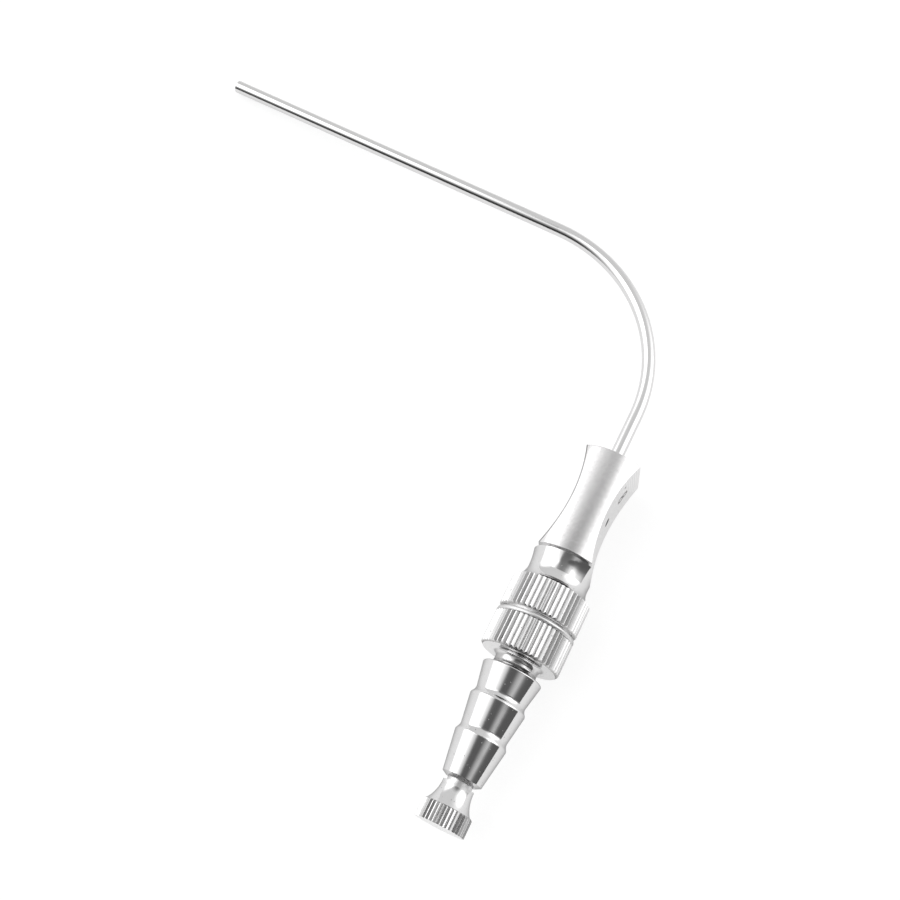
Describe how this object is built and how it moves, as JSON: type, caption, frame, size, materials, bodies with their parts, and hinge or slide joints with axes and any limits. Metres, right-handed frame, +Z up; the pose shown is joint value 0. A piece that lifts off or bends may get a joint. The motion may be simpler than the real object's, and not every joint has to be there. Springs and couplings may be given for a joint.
{
  "type": "frazier suction tube",
  "caption": "Steel suction tube with a bent slender tip, a flat-sided finger grip with a vent hole, a stepped hose barb and a stylet with a knurled knob.",
  "frame": {"origin": "on the surface the instrument lies on, under the middle of its bounding box", "axes": "+Y along the handle, from the stylet knob towards the finger grip; -X towards the tip of the tube; +Z up from the surface"},
  "size_m": [0.1182, 0.1224, 0.0151],
  "materials": {
    "tube_steel": "polished",
    "satin_steel": "satin",
    "polished_steel": "polished",
    "wire_steel": "drawn"
  },
  "bodies": {
    "root": {"suction_tube": "tube_steel", "handle": "satin_steel", "hose_connector": "polished_steel", "stylet_knob": "polished_steel", "stylet_wire": "wire_steel"}
  },
  "joints": []
}
